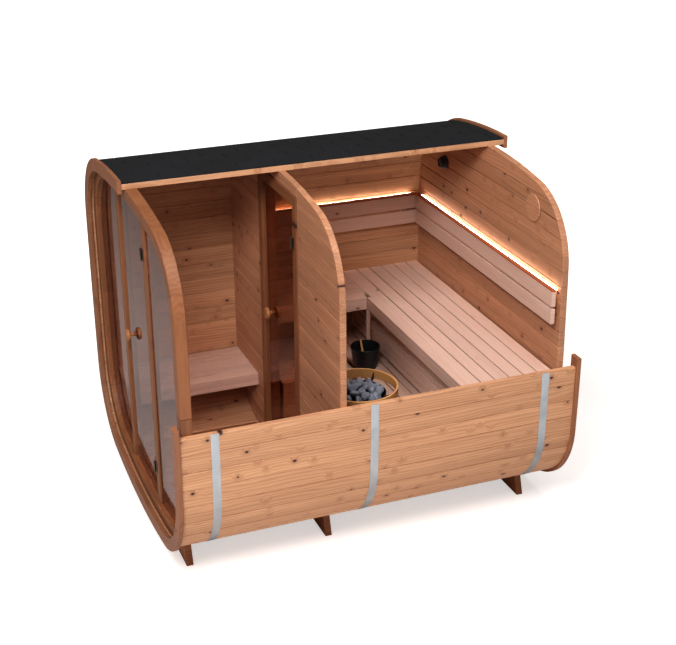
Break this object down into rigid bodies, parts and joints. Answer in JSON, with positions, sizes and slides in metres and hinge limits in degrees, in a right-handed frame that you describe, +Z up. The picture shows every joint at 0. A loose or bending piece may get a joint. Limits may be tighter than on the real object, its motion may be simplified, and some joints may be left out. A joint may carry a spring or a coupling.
{
  "type": "outdoor sauna",
  "caption": "Rounded-square barrel sauna on cradle feet, cut away on its upper near side, with a glass front, changing room, hot room, benches and heater.",
  "frame": {"origin": "on the ground under the middle of the barrel's length and width", "axes": "+Z up, the barrel's length along Y, the glazed front facing -Y, the cut-away side facing +X"},
  "size_m": [2.2419, 2.64, 2.346],
  "materials": {
    "shell_wood": "planed, oiled",
    "trim_wood": "planed, oiled",
    "inner_wood": "planed, oiled",
    "bench_wood": "planed, oiled",
    "dark_wood": "planed, oiled",
    "guard_wood": "planed, oiled",
    "shingle": "mineral-faced bitumen, matte",
    "strap_steel": "brushed stainless",
    "tinted_glass": "tinted, polished",
    "bronze_glass": "bronze tinted, polished",
    "hinge_metal": "brushed",
    "black_metal": "black powder coat",
    "stone": "split stone, rough",
    "light_cap": "warm diffuser"
  },
  "bodies": {
    "sauna": {"front_ring": "trim_wood", "back_ring": "trim_wood", "shell_roof": "shell_wood", "shell_far_upper_corner": "shell_wood", "shell_far_side": "shell_wood", "shell_far_lower_corner": "shell_wood", "shell_bottom": "shell_wood", "shell_near_lower_corner": "shell_wood", "shell_near_side": "shell_wood", "roof_shingles": "shingle", "tension_straps": "strap_steel", "cradle_feet": "dark_wood", "facade_frame": "trim_wood", "facade_posts": "trim_wood", "facade_side_glass": "tinted_glass", "door_hinges": "hinge_metal", "partition_far_panel": "inner_wood", "partition_near_panel": "inner_wood", "partition_head_panel": "inner_wood", "partition_sill": "inner_wood", "partition_jambs": "trim_wood", "partition_door_head": "trim_wood", "back_wall": "inner_wood", "vent_cover": "inner_wood", "wall_lamp": "black_metal", "floor_grids": "dark_wood", "changing_bench": "bench_wood", "main_bench": "bench_wood", "side_bench": "bench_wood", "bench_skirt": "bench_wood", "bench_legs": "bench_wood", "lower_deck": "bench_wood", "side_deck": "bench_wood", "back_backrest": "bench_wood", "side_backrest": "bench_wood", "light_strips": "light_cap", "heater_body": "black_metal", "heater_stones": "stone", "heater_guard": "guard_wood", "bucket": "black_metal", "ladle": "guard_wood"},
    "front_door": {"front_door_glass": "tinted_glass", "front_door_knobs": "guard_wood", "front_door_clamps": "hinge_metal"},
    "partition_door": {"partition_door_glass": "bronze_glass", "partition_door_knobs": "guard_wood", "partition_door_clamps": "hinge_metal"}
  },
  "joints": [
    {"name": "front_door_hinge", "type": "hinge", "parent": "sauna", "child": "front_door", "pos_m": [0.262, -1.258, 1.2], "axis": [0, 0, 1], "range_deg": [0, 100]},
    {"name": "partition_door_hinge", "type": "hinge", "parent": "sauna", "child": "partition_door", "pos_m": [0.262, -0.306, 1.2], "axis": [0, 0, 1], "range_deg": [0, 100]}
  ]
}
